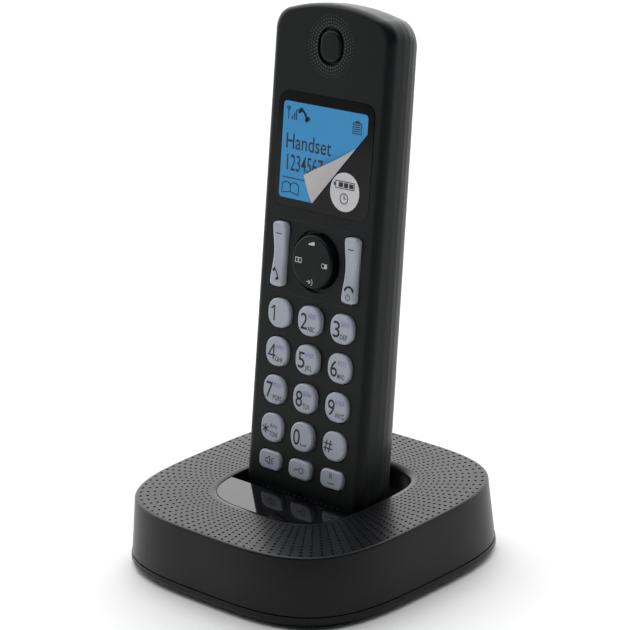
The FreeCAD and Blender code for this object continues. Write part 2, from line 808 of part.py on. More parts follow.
# line jack and power inlet, both facing the back
jack_block = box(
    "jack_block", at(LINE_X, size("jack_face") - size("jack_depth"), BOARD_TOP),
    "Sizes.jack_width", "Sizes.jack_depth", "Sizes.jack_height")
socket_low = BOARD_TOP + 2.9
socket = box(
    "jack_socket", at(LINE_X, size("jack_face") - size("jack_socket_depth"), socket_low),
    "Sizes.jack_socket_width", "Sizes.jack_socket_depth + 1", "Sizes.jack_socket_height")
latch = box(
    "jack_latch", at(LINE_X, size("jack_face") - 6.0, socket_low - size("jack_latch_height")),
    "Sizes.jack_latch_width", "7", "Sizes.jack_latch_height + 1")
keep(cut("jack_open", jack_block, fuse("jack_room", socket, latch)), "line_jack")
wires = []
for number in range(4):
    x = LINE_X + (number - 1.5) * size("jack_contact_pitch")
    y = size("jack_face") - size("jack_socket_depth")
    z = socket_low + size("jack_socket_height") - 0.5
    wires.append(cylinder(
        "jack_wire_%d" % number, along_y(x, y, z), "Sizes.jack_contact_radius", "7"))
keep(group("jack_wires", *wires), "line_jack_contacts")

inlet_block = box(
    "inlet_block", at(INLET_X, size("jack_face") - size("inlet_depth"), BOARD_TOP),
    "Sizes.inlet_width", "Sizes.inlet_depth", "Sizes.inlet_height")
inlet_z = BOARD_TOP + size("inlet_height") / 2
inlet_bore = cylinder(
    "inlet_bore", along_y(INLET_X, size("jack_face") - size("inlet_bore_depth"), inlet_z),
    "Sizes.inlet_bore_radius", "Sizes.inlet_bore_depth + 1")
keep(cut("inlet_open", inlet_block, inlet_bore), "power_inlet")
keep(cylinder(
    "inlet_rod", along_y(INLET_X, size("jack_face") - size("inlet_bore_depth"), inlet_z),
    "Sizes.inlet_pin_radius", "Sizes.inlet_pin_length"), "power_inlet_pin")

# handset locator button with its switch, in the back wall
switch_front = 39.0
switch_bar = box("switch_bar", at(0, switch_front - 5.0, BOARD_TOP), "6", "4.2", "6.5")
keep(switch_bar, "locator_switch")
button_face = 49.0
cap_bar = box(
    "locator_cap", at(0, button_face - 4.0, LOCATOR_Z - size("locator_height") / 2),
    "Sizes.locator_width", "4", "Sizes.locator_height")
stem_bar = box(
    "locator_stem", at(0, switch_front + 0.4, LOCATOR_Z - 1.5), "3", "8", "3")
keep(fuse("locator_whole", cap_bar, stem_bar), "locator_button")

# charging contacts that rise through the floor of the pocket
for side, label in ((-1, "charge_contact_left"), (1, "charge_contact_right")):
    top = -size("cradle_gap") + size("contact_rise")
    post = cylinder(label + "_post", BASE, "Sizes.contact_radius", "Sizes.contact_length - 0.5")
    dome = bind(doc.addObject("Part::Cone", label + "_dome"), Radius1="Sizes.contact_radius",
                Radius2="Sizes.contact_radius * 0.5", Height="0.5")
    dome.Placement = at(0, 0, size("contact_length") - 0.5)
    place = HANDSET.multiply(
        at(side * size("contact_x"), size("charge_plate_y"), top - size("contact_length")))
    keep(fuse(label + "_pin", post, dome), label, place)

# ---------------------------------------------------------------- handset

shaped("handset_front_cover", front_cover(), HANDSET)
shaped("handset_rear_cover", rear_cover(), HANDSET)
shaped("battery_cover", battery_lid(), HANDSET)

for label, (x, z, height, corner) in key_places.items():
    set_back = size("side_key_set_back") if x else 0.0
    key_body(label, x, z, set_back, height, corner)

for side, label in ((-1, "talk_key"), (1, "off_key")):
    body = doc.addObject("PartDesign::Body", label)
    sketch = rounded_sketch(
        body, label + "_outline", size("rocker_depth"), "Sizes.rocker_width",
        "Sizes.rocker_height", "Sizes.rocker_corner")
    bar = pad(body, sketch, label + "_bar", "Sizes.rocker_depth - 0.2")
    round_front_edges(body, bar, label + "_edge", "Sizes.key_edge")
    keep(body, label, HANDSET.multiply(at(side * size("rocker_x"), 0, size("rocker_z"))))

pad_disc = doc.addObject("PartDesign::Body", "navigation_disc")
pad_sketch = pad_disc.newObject("Sketcher::SketchObject", "navigation_outline")
pad_sketch.AttachmentSupport = [(plane_of(pad_disc, "XZ_Plane"), "")]
pad_sketch.MapMode = "FlatFace"
pad_sketch.AttachmentOffset = at(0, 0, -size("pad_back"))
pad_sketch.addGeometry(Part.Circle(Vector(), UP, 5.0), False)
pad_sketch.addConstraint(Sketcher.Constraint("Coincident", 0, 3, -1, 1))
radius_number = pad_sketch.addConstraint(Sketcher.Constraint("Radius", 0, 5.0))
pad_sketch.renameConstraint(radius_number, "reach")
pad_sketch.setExpression("Constraints.reach", "Sizes.pad_radius")
disc = pad(pad_disc, pad_sketch, "navigation_plate", "Sizes.pad_back - Sizes.pad_front")
round_front_edges(pad_disc, disc, "navigation_edge", "Sizes.key_edge")
keep(pad_disc, "navigation_key", HANDSET.multiply(at(0, 0, size("pad_z"))))
keep(cylinder(
    "pivot_rod", along_y(0, size("pad_back") + 0.1, size("pad_z")), "Sizes.pivot_radius",
    "Sizes.membrane_front - Sizes.pad_back - 0.3"), "navigation_pivot", HANDSET)

plate_body("keypad_membrane", "membrane_bottom", "membrane_top", size("membrane_front"),
           "membrane_thickness", "2 * Sizes.membrane_half_width", "2")
plate_body("dome_sheet", "membrane_bottom", "membrane_top", size("dome_front"),
           "dome_thickness", "2 * Sizes.membrane_half_width - 1", "2")
plate_body("display_window", "window_bottom", "window_top", WINDOW_FRONT, "window_thickness",
           "Sizes.window_width", "Sizes.window_corner - 0.1")

board_plate = rounded_prism(
    0, (size("handset_board_bottom") + size("handset_board_top")) / 2,
    2 * size("handset_board_half_width"), size("handset_board_top") - size("handset_board_bottom"),
    3.0, size("handset_board_front"),
    size("handset_board_front") + size("handset_board_thickness"))
notches = [depth_rod(side * size("handset_screw_x"), size("handset_screw_z"),
                     size("boss_radius") + 0.3, 5.0, 12.0) for side in (-1, 1)]
shaped("handset_circuit_board", board_plate.cut(notches), HANDSET)

panel = box(
    "lcd_block", at(0, LCD_FRONT, size("screen_bottom") - 1.5),
    "Sizes.screen_width + 4", "1.4", "Sizes.screen_top - Sizes.screen_bottom + 3")
keep(panel, "lcd_panel", HANDSET)
light_guide_front = LCD_FRONT + 1.45
guide = box(
    "guide_block", at(0, light_guide_front, size("screen_bottom") - 2.5),
    "Sizes.screen_width + 6", "%.3f" % (size("handset_board_front") - light_guide_front - 0.1),
    "Sizes.screen_top - Sizes.screen_bottom + 5")
keep(guide, "lcd_backlight", HANDSET)

film_front = WINDOW_FRONT - size("film_thickness")


def display_film():
    """A thin printed film whose lower right corner is peeled up into a curl."""
    left = -size("screen_width") / 2
    right = size("screen_width") / 2
    low = size("screen_bottom")
    high = size("screen_top")
    fold_start = (right, low + 0.80 * (high - low))
    fold_end = (left + 0.41 * (right - left), low)
    outline = [(left, low), (left, high), (right, high), fold_start, fold_end, (left, low)]
    sheet_face = Part.Face(Part.makePolygon([Vector(x, film_front, z) for x, z in outline]))
    flat = sheet_face.extrude(Vector(0, size("film_thickness"), 0))
    roll_radius = size("film_roll_radius")
    along = Vector(fold_end[0] - fold_start[0], 0, fold_end[1] - fold_start[1])
    length = along.Length
    along.normalize()
    inward = Vector(along.z, 0, -along.x)
    axis = film_front + size("film_thickness") - roll_radius
    start = Vector(fold_start[0], axis, fold_start[1]) + inward * roll_radius
    end = Vector(fold_end[0], axis, fold_end[1]) + inward * roll_radius
    roll = Part.makeCylinder(roll_radius, length, start, along)
    core = Part.makeCylinder(roll_radius - size("film_thickness"), length + 2, start - along, along)
    lift = Vector(0, size("film_thickness"), 0)
    out = Vector(0, -roll_radius, 0)
    tip = Vector(size("film_tip_x"), axis - roll_radius, size("film_tip_z"))
    flap_corners = [start + out, end + out, tip]
    flap = Part.Face(Part.makePolygon(flap_corners + flap_corners[:1])).extrude(lift)
    whole = flat.fuse([roll.cut(core), flap])
    edge_trim = block((right, -FAR, low - FAR), (FAR, FAR, high + FAR))
    foot_trim = block((-FAR, -FAR, low - FAR), (FAR, FAR, low))
    return whole.cut([edge_trim, foot_trim])


shaped("display_film", display_film(), HANDSET)
keep(cylinder(
    "sticker_disc", along_y(size("sticker_x"), WINDOW_FRONT - 0.1, size("sticker_z")),
    "Sizes.sticker_radius", "0.1"), "battery_life_sticker", HANDSET)

# sound
ear_plug = rounded_prism(
    0, size("earpiece_z"), size("earpiece_width"), size("earpiece_height"), 3.9,
    face_at(size("earpiece_z")) - 0.3, EAR_FLOOR)
crown = [e for e in ear_plug.Edges if e.BoundBox.YMax < face_at(size("earpiece_z")) - 0.29]
shaped("earpiece_insert", ear_plug.makeFillet(0.8, crown), HANDSET)
keep(cylinder(
    "ear_speaker_can", along_y(0, 3.95, size("earpiece_z")), "Sizes.ear_speaker_radius",
    "Sizes.ear_speaker_depth"), "earpiece_speaker", HANDSET)
board_back = size("handset_board_front") + size("handset_board_thickness")
keep(cylinder(
    "ringer_can", along_y(0, board_back + 2.0, size("ringer_z")), "Sizes.ringer_radius",
    "Sizes.ringer_depth"), "ringer_speaker", HANDSET)
keep(cylinder(
    "microphone_can", along_y(0, 3.9, size("microphone_z")), "Sizes.microphone_radius",
    "Sizes.microphone_depth"), "microphone", HANDSET)

# aerial at the top of the handset board
keep(box(
    "handset_aerial_strip", at(0, board_back, size("handset_board_top") - 8.0), "24", "0.8", "3"),
    "handset_antenna", HANDSET)


def ringed_sleeve():
    """A battery spring, its turns drawn as closed rings that touch each other."""
    turns = 6
    middle = size("spring_radius")
    outer = []
    inner = []
    for step in range(2 * turns + 1):
        height = step * size("spring_pitch") / 2
        half = size("spring_wire_radius") * (1.0 if step % 2 else 0.4)
        outer.append(Vector(middle + half, 0, height))
        inner.append(Vector(middle - half, 0, height))
    corners = outer + inner[::-1]
    profile = Part.Face(Part.makePolygon(corners + corners[:1]))
    return profile.revolve(Vector(), UP, 360)


# battery
cells = []
springs = []
plates = []
cell_top = size("cell_bottom") + size("cell_length")
for side in (-1, 1):
    x = side * size("cell_x")
    body_rod = cylinder(
        "cell_rod_%d" % (side + 1), at(x, size("cell_depth"), size("cell_bottom")),
        "Sizes.cell_radius", "Sizes.cell_length - 1")
    nose = cylinder(
        "cell_nose_%d" % (side + 1), at(x, size("cell_depth"), cell_top - 1.0), "1.9", "1")
    cells.append(fuse("cell_%d" % (side + 1), body_rod, nose))
    spring = doc.addObject("Part::Feature", "spring_%d" % (side + 1))
    spring.Shape = ringed_sleeve()
    spring.Placement = at(x, size("cell_depth"), size("compartment_bottom") + 0.3)
    springs.append(spring)
    plates.append(box(
        "cell_plate_%d" % (side + 1), at(x, size("cell_depth") - 3.5, cell_top + 0.2), "7", "7",
        "0.4"))
keep(group("cell_group", *cells), "battery_cells", HANDSET)
keep(group("spring_group", *springs), "battery_springs", HANDSET)
keep(group("plate_group", *plates), "battery_contact_plates", HANDSET)

charge_plates = []
for side in (-1, 1):
    charge_plates.append(box(
        "charge_plate_%d" % (side + 1),
        at(side * size("contact_x"), size("charge_plate_y") - size("charge_plate_depth") / 2, 0.3),
        "Sizes.charge_plate_width", "Sizes.charge_plate_depth", "Sizes.charge_plate_thickness"))
keep(group("charge_plate_group", *charge_plates), "handset_charge_plates", HANDSET)

handset_screws = []
for side in (-1, 1):
    place = at(side * size("handset_screw_x"), 12.0 + size("screw_head_height"), size("handset_screw_z"))
    turn = Rotation(Vector(1, 0, 0), 90)
    handset_screws.append(screw("handset_screw_%d" % (side + 1), place, turn, "9"))
keep(group("handset_screw_group", *handset_screws), "handset_screws", HANDSET)

# ---------------------------------------------------------------- checks and files

doc.recompute()
for thing in doc.Objects:
    if "Invalid" in thing.State or "Error" in thing.State:
        raise RuntimeError("%s did not compute: %s" % (thing.Label, thing.State))
for piece in pieces:
    if piece.Shape.isNull() or not piece.Shape.isValid():
        raise RuntimeError("%s has no valid shape" % piece.Label)
    if not piece.Shape.Solids:
        raise RuntimeError("%s has no solid" % piece.Label)

os.makedirs("parts", exist_ok=True)
for piece in pieces:
    piece.Shape.exportStep("parts/%s.step" % piece.Label)
    solids = len(piece.Shape.Solids)
    print("%-24s %d solid(s) %10.1f mm3" % (piece.Label, solids, piece.Shape.Volume))
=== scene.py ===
import json
import math

import bmesh
import bpy
from mathutils import Matrix, Vector


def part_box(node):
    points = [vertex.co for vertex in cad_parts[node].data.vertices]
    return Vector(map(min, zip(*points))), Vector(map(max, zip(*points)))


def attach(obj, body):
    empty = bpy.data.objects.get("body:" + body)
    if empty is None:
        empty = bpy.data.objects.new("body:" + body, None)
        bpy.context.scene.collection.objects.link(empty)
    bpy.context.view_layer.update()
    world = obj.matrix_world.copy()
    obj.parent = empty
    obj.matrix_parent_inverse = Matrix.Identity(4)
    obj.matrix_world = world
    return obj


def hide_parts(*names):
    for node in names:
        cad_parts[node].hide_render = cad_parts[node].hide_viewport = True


bl_info = {
    "name": "Cordless Phone",
    "version": (1, 0, 0),
    "blender": (4, 5, 0),
    "location": "View3D > Sidebar > Phone",
    "description": "Dresses a cordless telephone and its charging base",
    "category": "Object",
}

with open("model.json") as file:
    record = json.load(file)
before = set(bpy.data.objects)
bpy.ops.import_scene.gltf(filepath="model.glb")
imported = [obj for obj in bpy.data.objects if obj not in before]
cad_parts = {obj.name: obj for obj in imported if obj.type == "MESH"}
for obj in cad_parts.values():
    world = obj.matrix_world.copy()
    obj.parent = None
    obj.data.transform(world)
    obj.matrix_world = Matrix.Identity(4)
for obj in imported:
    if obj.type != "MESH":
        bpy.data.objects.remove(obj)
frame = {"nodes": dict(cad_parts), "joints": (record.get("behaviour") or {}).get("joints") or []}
NODES = frame["nodes"]
LIFT = next(joint["axis"] for joint in frame["joints"] if joint["name"] == "handset_lift")
LEAN = math.atan2(LIFT[1], LIFT[2])
MM = 0.001
FOOT = Vector((0.0, -0.007493, 0.01495))
IN_BASE = Matrix.Scale(MM, 4)
IN_HANDSET = Matrix.Translation(FOOT) @ Matrix.Rotation(-LEAN, 4, "X") @ Matrix.Scale(MM, 4)

BASE_TOP = 22.8
BASE_TILT = 0.021
BASE_EXPONENT = 3.42
WELL = (25.3, 26.4, 3.43, 0.8)
WELL_BOTTOM = 10.2
COVER_LOW = 4.2
RIM = (47.1, 47.2)
RIM_RADIUS = 0.6
WINDOW_FRONT = 1.77
FILM_FRONT = WINDOW_FRONT - 0.15
KEY_PITCH = (13.0, 12.08)
FIRST_ROW = 61.0
FUNCTION_ROW = 14.4
SET_BACK = 0.43
PRINT_LIFT = 0.02
SMALL_WEIGHT = 0.014
SIDE_KEY_X = 14.8
SIDE_KEY_Z = 79.1
SIDE_KEY_REACH = 10.0
SIDE_KEY_HALF_WIDTH = 2.85
SIDE_KEY_WAIST = 0.30
SIDE_KEY_CORNER = 1.6
SIDE_KEY_BACK = 4.2
FOLD_START = (17.1, 120.2)
FOLD_END = (-3.0, 96.6)
FLAP_TIP = (-6.0, 104.7)
FILM_TOP = 125.9
EARPIECE_Z = 144.0
CHIN_Z = 5.6
PANEL_LINES = (67.45, 90.3)
VIEW_TURN = math.radians(44.076)
VIEW_TILT = math.radians(71.776)
VIEW_ROLL = math.radians(-2.141)
VIEW_SPOT = (0.499215, -0.511291, 0.312843)
VIEW_LENS = 142.87

DIAL = [
    ("key_1", "1", "", ""), ("key_2", "2", "ABC", "АБВГ"), ("key_3", "3", "DEF", "ДЕЖЗ"),
    ("key_4", "4", "GHI", "ИЙКЛ"), ("key_5", "5", "JKL", "МНОП"), ("key_6", "6", "MNO", "РСТУ"),
    ("key_7", "7", "PQRS", "ФХЦЧ"), ("key_8", "8", "TUV", "ШЩЪЫ"), ("key_9", "9", "WXYZ", "ЬЭЮЯ"),
    ("key_star", "*", "", ""), ("key_0", "0", "", ""), ("key_hash", "#", "", ""),
]


def face_at(z):
    """Depth of the handset's face at a height, in millimetres."""
    return 1.3 + 0.8 * z / 156.5


# ---------------------------------------------------------------- settings

class BaseSettings(bpy.types.PropertyGroup):
    columns: bpy.props.IntProperty(
        name="Dimple columns", description="Radial rows of dimples round the base",
        default=104, min=24, max=160)
    rings: bpy.props.IntProperty(
        name="Dimple rings", description="Rings of dimples from the well to the rim",
        default=12, min=3, max=20)
    inner_radius: bpy.props.FloatProperty(
        name="Inner dimple", description="Radius of the dimples nearest to the well",
        default=0.00038, unit="LENGTH")
    outer_radius: bpy.props.FloatProperty(
        name="Outer dimple", description="Radius of the dimples nearest to the rim",
        default=0.00050, unit="LENGTH")
    dimple_depth: bpy.props.FloatProperty(
        name="Dimple depth", description="How deep the dimples are",
        default=0.00040, unit="LENGTH")
    back_roll: bpy.props.FloatProperty(
        name="Lip roll", description="How much deeper the lip of the well rolls at the back",
        default=0.0016, unit="LENGTH")


class HandsetSettings(bpy.types.PropertyGroup):
    digit_height: bpy.props.FloatProperty(
        name="Digit height", description="Height of the digits on the keys",
        default=0.0050, unit="LENGTH")
    letter_height: bpy.props.FloatProperty(
        name="Letter height", description="Height of the small letters on the keys",
        default=0.00155, unit="LENGTH")
    rocker_hollow: bpy.props.FloatProperty(
        name="Rocker hollow", description="How far the middle of a side key dips",
        default=0.0008, unit="LENGTH")
    screen_word: bpy.props.StringProperty(
        name="Screen word", description="The plain word printed on the display film",
        default="Handset")


class FinishSettings(bpy.types.PropertyGroup):
    base: bpy.props.FloatVectorProperty(
        name="Base casing", description="Colour of the base's plastic", subtype="COLOR",
        size=3, default=(0.0060, 0.0064, 0.0074))
    handset: bpy.props.FloatVectorProperty(
        name="Handset casing", description="Colour of the handset's plastic", subtype="COLOR",
        size=3, default=(0.0040, 0.0050, 0.0060))
    key: bpy.props.FloatVectorProperty(
        name="Keys", description="Colour of the silver lacquer", subtype="COLOR",
        size=3, default=(0.42, 0.45, 0.53))
    screen: bpy.props.FloatVectorProperty(
        name="Screen film", description="Colour of the printed film", subtype="COLOR",
        size=3, default=(0.008, 0.28, 0.70))
    film_back: bpy.props.FloatVectorProperty(
        name="Film back", description="Colour of the film's underside", subtype="COLOR",
        size=3, default=(0.60, 0.57, 0.57))
    ink: bpy.props.FloatVectorProperty(
        name="Ink", description="Colour of the main legends", subtype="COLOR",
        size=3, default=(0.008, 0.009, 0.012))
    second_ink: bpy.props.FloatVectorProperty(
        name="Second ink", description="Colour of the second alphabet", subtype="COLOR",
        size=3, default=(0.20, 0.17, 0.50))


# ---------------------------------------------------------------- finishes

def surface(name, colour, roughness, grain=900.0, relief=0.02, metallic=0.0, coat=0.0,
            mottle=0.10, spread=0.05, ior=1.47):
    """A moulded or printed surface with a fine grain and an uneven gloss."""
    known = bpy.data.materials.get(name)
    if known:
        return known
    material = bpy.data.materials.new(name)
    material.use_nodes = True
    nodes = material.node_tree.nodes
    links = material.node_tree.links
    shader = nodes["Principled BSDF"]
    shader.inputs["Metallic"].default_value = metallic
    shader.inputs["IOR"].default_value = ior
    shader.inputs["Coat Weight"].default_value = coat
    shader.inputs["Coat Roughness"].default_value = 0.04
    place = nodes.new("ShaderNodeTexCoord")
    fine = nodes.new("ShaderNodeTexNoise")
    fine.inputs["Scale"].default_value = grain
    fine.inputs["Detail"].default_value = 3.0
    broad = nodes.new("ShaderNodeTexNoise")
    broad.inputs["Scale"].default_value = 55.0
    broad.inputs["Detail"].default_value = 4.0
    tint = nodes.new("ShaderNodeMix")
    tint.data_type = "RGBA"
    tint.inputs[6].default_value = tuple(c * (1 - mottle) for c in colour) + (1.0,)
    tint.inputs[7].default_value = tuple(min(1.0, c * (1 + mottle)) for c in colour) + (1.0,)
    gloss = nodes.new("ShaderNodeMapRange")
    gloss.inputs["To Min"].default_value = max(0.02, roughness - spread)
    gloss.inputs["To Max"].default_value = min(1.0, roughness + spread)
    bump = nodes.new("ShaderNodeBump")
    bump.inputs["Strength"].default_value = 0.35
    bump.inputs["Distance"].default_value = relief * MM
    links.new(place.outputs["Object"], fine.inputs["Vector"])
    links.new(place.outputs["Object"], broad.inputs["Vector"])
    links.new(fine.outputs["Fac"], tint.inputs[0])
    links.new(tint.outputs[2], shader.inputs["Base Color"])
    links.new(broad.outputs["Fac"], gloss.inputs["Value"])
    links.new(gloss.outputs["Result"], shader.inputs["Roughness"])
    links.new(fine.outputs["Fac"], bump.inputs["Height"])
    links.new(bump.outputs["Normal"], shader.inputs["Normal"])
    return material


def base_plastic():
    colour = bpy.context.scene.phone_finishes.base
    return surface("base_casing_plastic", colour, 0.30, relief=0.012, ior=1.29)


def handset_plastic():
    colour = bpy.context.scene.phone_finishes.handset
    return surface("handset_satin_plastic", colour, 0.40, grain=1400.0, relief=0.010, ior=1.28)


def mirror_black():
    return surface("cradle_mirror_black", (0.004, 0.004, 0.005), 0.05, relief=0.0,
                   spread=0.02, ior=1.40)


def window_black():
    return surface("window_black", (0.003, 0.003, 0.004), 0.08, relief=0.0, spread=0.02,
                   ior=1.30)


def silver_lacquer():
    colour = bpy.context.scene.phone_finishes.key
    return surface("silver_key_lacquer", colour, 0.34, grain=2600.0, relief=0.004,
                   mottle=0.06, coat=0.25)


def ink():
    return surface("legend_ink", bpy.context.scene.phone_finishes.ink, 0.5, relief=0.0)


def pale_print():
    return surface("pale_print", (0.70, 0.71, 0.72), 0.5, relief=0.0)


# ---------------------------------------------------------------- making pieces

def finish_piece(bm, name, material, body, place=IN_HANDSET, replaced=(), sharp=35.0):
    """Turns a bmesh in millimetres into a piece that rides on a body."""
    mesh = bpy.data.meshes.new(name)
    bm.to_mesh(mesh)
    bm.free()
    mesh.transform(place)
    mesh.shade_smooth()
    mesh.set_sharp_from_angle(angle=math.radians(sharp))
    mesh.materials.append(material)
    piece = bpy.data.objects.new(name, mesh)
    bpy.context.scene.collection.objects.link(piece)
    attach(piece, body)
    if replaced:
        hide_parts(*replaced)
    return piece


def bar(bm, x, z, width, height, y, turn=0.0, thick=0.03):
    place = (Matrix.Translation((x, y, z)) @ Matrix.Rotation(-turn, 4, "Y")
             @ Matrix.Diagonal((width, thick, height, 1.0)))
    bmesh.ops.create_cube(bm, size=1.0, matrix=place)


def dot(bm, x, z, radius, y, sides=12):
    place = Matrix.Translation((x, y, z)) @ Matrix.Rotation(math.radians(90), 4, "X")
    bmesh.ops.create_circle(bm, cap_ends=True, segments=sides, radius=radius, matrix=place)


def stroke(bm, points, width, y):
    """A drawn line of even width through some points."""
    for start, end in zip(points, points[1:]):
        run = Vector(end) - Vector(start)
        middle = (Vector(end) + Vector(start)) / 2
        bar(bm, middle.x, middle.y, run.length, width, y, math.atan2(run.y, run.x))
    for x, z in points:
        dot(bm, x, z, width / 2, y - 0.015, 8)


def arc_points(x, z, radius, start, end, steps=10, stretch=1.0):
    turns = [math.radians(start + (end - start) * step / steps) for step in range(steps + 1)]
    return [(x + radius * math.cos(a), z + stretch * radius * math.sin(a)) for a in turns]


def lettering(bm, text, x, z, height, y, width=None, centred=False, weight=0.004):
    """Flat letters that stand on a baseline and face the front."""
    curve = bpy.data.curves.new("lettering", "FONT")
    curve.body = text
    curve.resolution_u = 3
    curve.offset = weight
    carrier = bpy.data.objects.new("lettering", curve)
    bpy.context.scene.collection.objects.link(carrier)
    bpy.context.view_layer.update()
    graph = bpy.context.evaluated_depsgraph_get()
    mesh = bpy.data.meshes.new_from_object(carrier.evaluated_get(graph))
    bpy.data.objects.remove(carrier)
    bpy.data.curves.remove(curve)
    if not mesh.vertices:
        raise RuntimeError("the letters %r gave no shape" % text)
    across = [v.co.x for v in mesh.vertices]
    tall = max(v.co.y for v in mesh.vertices)
    rise = height / tall
    spread = width / (max(across) - min(across)) if width else rise
    shift = -(min(across) + max(across)) / 2 if centred else -min(across)
    mesh.transform(
        Matrix.Translation((x, y, z)) @ Matrix.Rotation(math.radians(90), 4, "X")
        @ Matrix.Diagonal((spread, rise, 1.0, 1.0)) @ Matrix.Translation((shift, 0, 0)))
    bm.from_mesh(mesh)
    bpy.data.meshes.remove(mesh)


def give_finish(names, material):
    """Puts a finish on the slots of modelled nodes."""
    for name in names:
        node = NODES[name]
        if not node.material_slots:
            node.data.materials.append(material)
        for slot in node.material_slots:
            slot.link = "OBJECT"
            slot.material = material


def split(result, kind):
    return [item for item in result["geom"] if isinstance(item, kind)]


# ---------------------------------------------------------------- base

def outline_point(outline, angle):
    """A point of a rounded square outline, given as half sizes, exponent and centre."""
    half_width, half_depth, exponent, centre = outline
    reach = (abs(math.cos(angle) / half_width) ** exponent
             + abs(math.sin(angle) / half_depth) ** exponent) ** (-1 / exponent)
    return reach * math.cos(angle), reach * math.sin(angle) + centre


def grown(outline, amount):
    return (outline[0] + amount, outline[1] + amount, outline[2], outline[3])


def casing_outline(height, inset=0.0):
    rise = (height - 0.8) / (BASE_TOP - 0.8)
    half_width = 48.6 * (1 - rise) + RIM[0] * rise
    half_depth = 49.3 * (1 - rise) + RIM[1] * rise
    return (half_width - inset, half_depth - inset, BASE_EXPONENT, 0.0)


def sweep(bm, edges, centre, stations):
    """Draws a loop of edges through outlines, each with its own height."""
    for outline, height in stations:
        result = bmesh.ops.extrude_edge_only(bm, edges=edges)
        for vert in split(result, bmesh.types.BMVert):
            angle = math.atan2(vert.co.y - centre, vert.co.x)
            x, y = outline_point(outline, angle)
            vert.co = (x, y, height(y))
        edges = [e for e in split(result, bmesh.types.BMEdge) if e.is_boundary]
        centre = outline[3]
    return edges


def level(height):
    return lambda y: height


def tilted(height):
    return lambda y: height + BASE_TILT * y


def open_back(bm, low, high, bottom, top):
    """Cuts a socket opening through the back wall."""
    faces = [f for f in bm.faces if f.calc_center_median().y > 38.0 and abs(f.normal.y) > 0.6]
    geom = list({v for f in faces for v in f.verts} | {e for f in faces for e in f.edges}) + faces
    for point, way in (((low, 0, 0), (1, 0, 0)), ((high, 0, 0), (1, 0, 0)),
                       ((0, 0, bottom), (0, 0, 1)), ((0, 0, top), (0, 0, 1))):
        geom = bmesh.ops.bisect_plane(
            bm, geom=geom, dist=0.001, plane_co=point, plane_no=way)["geom"]
    gone = []
    for face in geom:
        if not isinstance(face, bmesh.types.BMFace):
            continue
        middle = face.calc_center_median()
        if low < middle.x < high and bottom < middle.z < top:
            gone.append(face)
    bmesh.ops.delete(bm, geom=gone, context="FACES")
    rims = [e for e in bm.edges if e.is_boundary]
    bmesh.ops.bridge_loops(bm, edges=rims)


